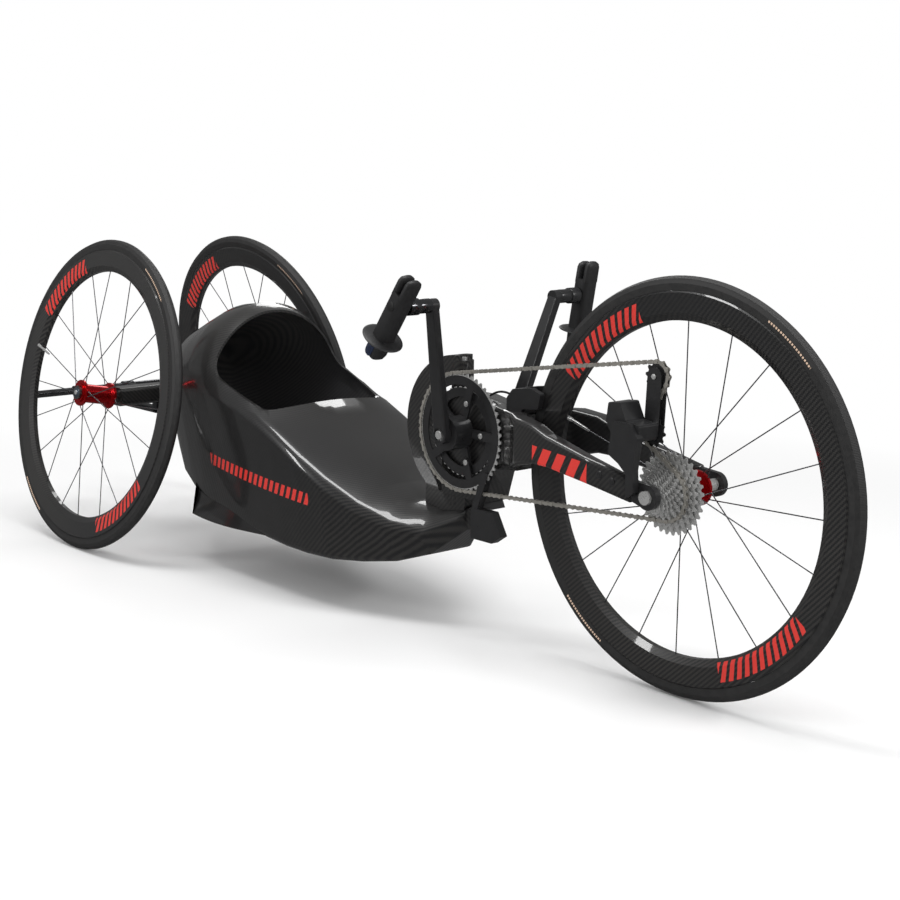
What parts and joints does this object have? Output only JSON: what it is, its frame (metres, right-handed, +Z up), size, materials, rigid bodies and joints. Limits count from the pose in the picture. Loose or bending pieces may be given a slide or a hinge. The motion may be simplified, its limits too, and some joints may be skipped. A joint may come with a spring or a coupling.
{
  "type": "racing kneeling handcycle",
  "caption": "Racing handcycle with a black carbon kneeling tub, cambered rear wheels, a C-shaped neck and a hand-cranked, steered front wheel",
  "frame": {"origin": "on the floor under the middle of the bounding box", "axes": "+X forward along the vehicle, +Y to its left, +Z up"},
  "size_m": [2.1755, 0.5748, 0.672],
  "materials": {
    "tyre": "black tyre rubber, satin, with a pale dashed band on the sidewall",
    "carbon": "clear-coated black carbon fibre, fine twill weave",
    "rim_carbon": "clear-coated black carbon rim with red slanted bars",
    "red_anodised": "red anodised aluminium hub, satin",
    "black_alloy": "black anodised aluminium, satin",
    "silver": "bright machined aluminium",
    "steel": "nickel plated steel",
    "black_plastic": "black moulded plastic, satin",
    "hose_rubber": "black hose, satin",
    "guard_tube": "dark polished tube"
  },
  "bodies": {
    "tub": {"tub_shell": "carbon", "neck": "carbon", "axle_beam": "carbon", "guard_bar": "guard_tube", "steer_pin_upper": "steel", "steer_pin_lower": "steel"},
    "rear_wheel_right": {"rear_right_tyre": "tyre", "rear_right_rim": "rim_carbon", "rear_right_hub": "red_anodised"},
    "rear_wheel_left": {"rear_left_tyre": "tyre", "rear_left_rim": "rim_carbon", "rear_left_hub": "red_anodised"},
    "fork_unit": {"fork": "carbon", "dropout_right": "black_alloy", "dropout_left": "black_alloy", "front_axle": "steel", "chain": "steel", "rear_derailleur": "black_alloy", "derailleur_cage": "black_alloy", "front_derailleur": "silver", "brake_caliper": "black_alloy", "brake_hose": "hose_rubber"},
    "front_wheel": {"front_tyre": "tyre", "front_rim": "rim_carbon", "front_hub": "red_anodised", "cassette": "steel"},
    "crank_set": {"chainring_big": "black_alloy", "chainring_small": "black_alloy", "spider": "black_alloy", "crank_spindle": "steel", "crank_arm_right": "black_alloy", "crank_arm_left": "black_alloy"},
    "grip_right_body": {"grip_right": "black_plastic"},
    "grip_left_body": {"grip_left": "black_plastic"}
  },
  "joints": [
    {"name": "steering", "type": "hinge", "parent": "tub", "child": "fork_unit", "pos_m": [0.229, 0, 0.245], "axis": [0, 0, 1], "range_deg": [-20, 20]},
    {"name": "front_wheel_spin", "type": "hinge", "parent": "fork_unit", "child": "front_wheel", "pos_m": [0.75, 0, 0.336], "axis": [0, 1, 0], "continuous": true},
    {"name": "crank_spin", "type": "hinge", "parent": "fork_unit", "child": "crank_set", "pos_m": [0.27, 0, 0.367], "axis": [0, 1, 0], "continuous": true},
    {"name": "grip_right_spin", "type": "hinge", "parent": "crank_set", "child": "grip_right_body", "pos_m": [0.31238, -0.221, 0.60018], "axis": [0, 1, 0], "continuous": true},
    {"name": "grip_left_spin", "type": "hinge", "parent": "crank_set", "child": "grip_left_body", "pos_m": [0.31238, 0.221, 0.60018], "axis": [0, 1, 0], "continuous": true},
    {"name": "rear_right_spin", "type": "hinge", "parent": "tub", "child": "rear_wheel_right", "pos_m": [-0.722, -0.2175, 0.33067], "axis": [0, 0.9836, -0.1805], "continuous": true},
    {"name": "rear_left_spin", "type": "hinge", "parent": "tub", "child": "rear_wheel_left", "pos_m": [-0.722, 0.2175, 0.33067], "axis": [0, 0.9836, 0.1805], "continuous": true}
  ]
}
